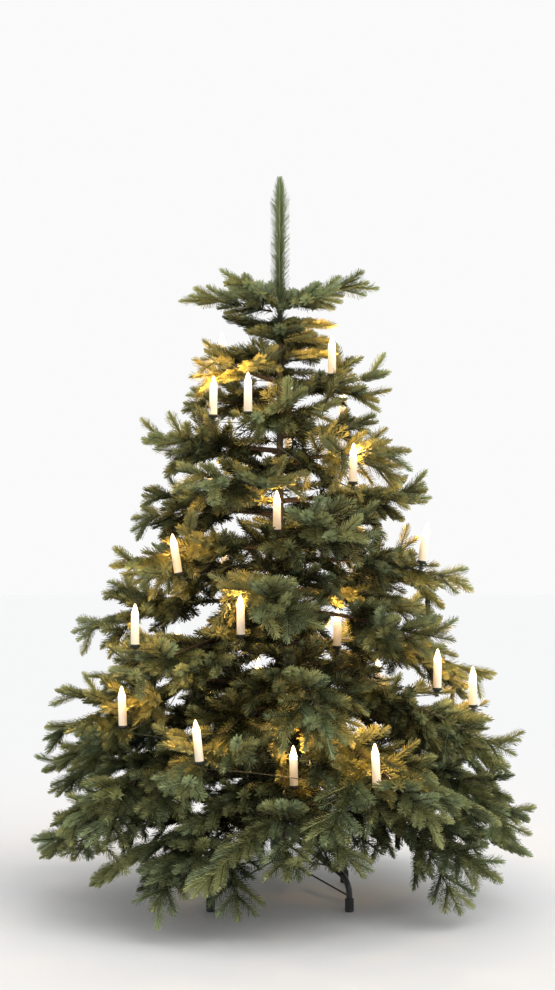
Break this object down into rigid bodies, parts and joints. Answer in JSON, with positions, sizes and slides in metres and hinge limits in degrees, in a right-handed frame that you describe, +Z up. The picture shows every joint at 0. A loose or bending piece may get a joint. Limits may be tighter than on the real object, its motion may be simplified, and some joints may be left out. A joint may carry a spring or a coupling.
{
  "type": "artificial christmas tree on its metal stand",
  "caption": "Bushy artificial Christmas tree with drooping lower boughs, layered fir sprays, a slim upright top and a folding four-legged black metal stand.",
  "frame": {"origin": "on the floor, under the middle of the pole, which is the middle of the crown's box to about 11 mm", "axes": "+Z up along the pole, -Y towards the side that the picture shows, +X to that view's right"},
  "size_m": [1.2163, 1.2304, 1.8],
  "materials": {
    "fir_needles": "satin moulded needles",
    "bough_wrap": "matt brown wrap on steel",
    "black_paint": "satin black paint"
  },
  "bodies": {
    "root": {"trunk": "bough_wrap", "stand_hub": "black_paint", "stand_brace": "black_paint", "stand_leg_1": "black_paint", "stand_leg_2": "black_paint", "stand_leg_3": "black_paint", "stand_leg_4": "black_paint", "bough_01": "bough_wrap", "bough_02": "bough_wrap", "bough_03": "bough_wrap", "bough_04": "bough_wrap", "bough_05": "bough_wrap", "bough_06": "bough_wrap", "bough_07": "bough_wrap", "bough_08": "bough_wrap", "foliage_01": "fir_needles", "foliage_02": "fir_needles", "foliage_03": "fir_needles", "foliage_04": "fir_needles", "foliage_05": "fir_needles", "foliage_06": "fir_needles", "foliage_07": "fir_needles", "foliage_08": "fir_needles", "foliage_09": "fir_needles", "foliage_10": "fir_needles", "foliage_11": "fir_needles", "foliage_12": "fir_needles", "foliage_13": "fir_needles", "foliage_14": "fir_needles", "foliage_15": "fir_needles", "foliage_16": "fir_needles", "foliage_17": "fir_needles", "foliage_18": "fir_needles", "foliage_19": "fir_needles", "foliage_20": "fir_needles", "foliage_21": "fir_needles", "foliage_22": "fir_needles", "foliage_23": "fir_needles", "foliage_24": "fir_needles", "foliage_25": "fir_needles", "foliage_26": "fir_needles", "foliage_27": "fir_needles", "foliage_28": "fir_needles", "foliage_29": "fir_needles", "foliage_30": "fir_needles", "foliage_31": "fir_needles", "foliage_32": "fir_needles", "foliage_33": "fir_needles", "foliage_34": "fir_needles", "foliage_35": "fir_needles", "foliage_36": "fir_needles", "foliage_37": "fir_needles", "foliage_38": "fir_needles", "foliage_39": "fir_needles", "foliage_40": "fir_needles", "foliage_41": "fir_needles", "foliage_42": "fir_needles", "foliage_43": "fir_needles", "foliage_44": "fir_needles", "foliage_top": "fir_needles"}
  },
  "joints": []
}
